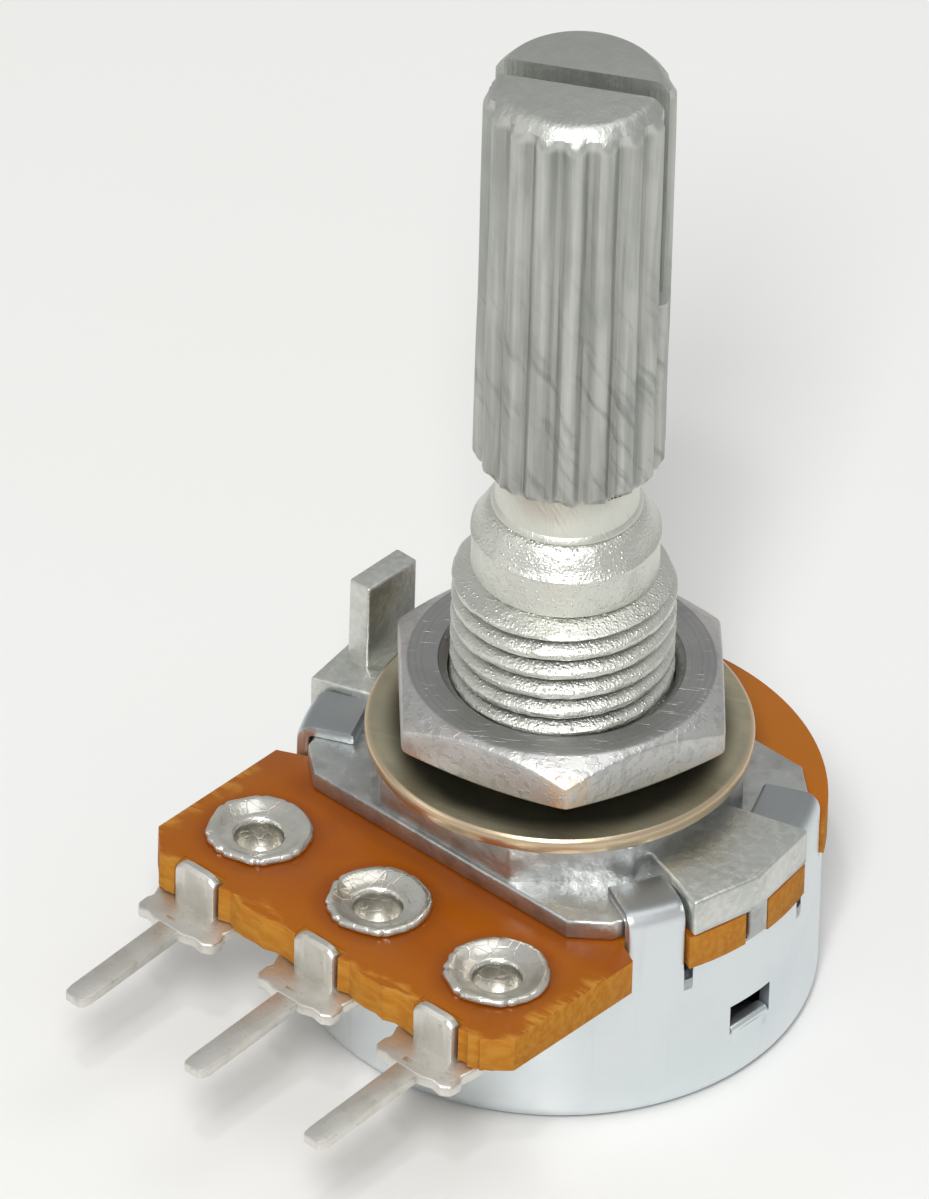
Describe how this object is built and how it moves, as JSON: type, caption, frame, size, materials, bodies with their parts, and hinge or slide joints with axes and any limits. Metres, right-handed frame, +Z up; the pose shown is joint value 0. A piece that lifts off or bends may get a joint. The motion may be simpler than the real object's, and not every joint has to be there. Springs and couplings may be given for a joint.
{
  "type": "rotary potentiometer",
  "caption": "Rotary potentiometer with a round drawn can, a terminal ear with pins on one side, a threaded bushing with nut and washer, and a split knurled shaft.",
  "frame": {"origin": "centre of the can's back face, on the shaft's axis", "axes": "+Z up the shaft, out of the bushing; X along the row of terminals; the pins point towards -Y"},
  "size_m": [0.0172, 0.025, 0.0343],
  "materials": {
    "can_zinc": "zinc plated sheet steel, satin, bluish",
    "casting": "as-cast zinc alloy, satin",
    "shaft_metal": "turned and knurled, semi-bright",
    "board": "phenolic paper laminate, orange-brown, glossy",
    "carbon_print": "printed carbon, matte",
    "silver_print": "printed silver, satin",
    "tin": "tinned brass sheet, warm light grey",
    "eyelet_tin": "tinned brass, bright",
    "rotor_plastic": "moulded, black",
    "spring_bronze": "rolled spring sheet",
    "ring_steel": "spring steel, plain",
    "slip_plastic": "white nylon",
    "washer_plate": "plated steel, yellowish",
    "nut_plate": "nickel plated, worn at a corner"
  },
  "bodies": {
    "housing": {"rear_can": "can_zinc", "wafer": "board", "resistive_track": "carbon_print", "track_pad_left": "silver_print", "track_pad_right": "silver_print", "collector_ring": "silver_print", "terminal_left": "tin", "terminal_middle": "tin", "terminal_right": "tin", "eyelet_left": "eyelet_tin", "eyelet_middle": "eyelet_tin", "eyelet_right": "eyelet_tin", "front_plate": "casting", "thrust_washer": "slip_plastic", "flat_washer": "washer_plate", "hex_nut": "nut_plate"},
    "spindle": {"shaft": "shaft_metal", "retaining_ring": "ring_steel", "rotor": "rotor_plastic", "wiper": "spring_bronze"}
  },
  "joints": [
    {"name": "shaft_turn", "type": "hinge", "parent": "housing", "child": "spindle", "pos_m": [0, 0, 0.0088], "axis": [0, 0, 1], "range_deg": [-90, 210]}
  ]
}
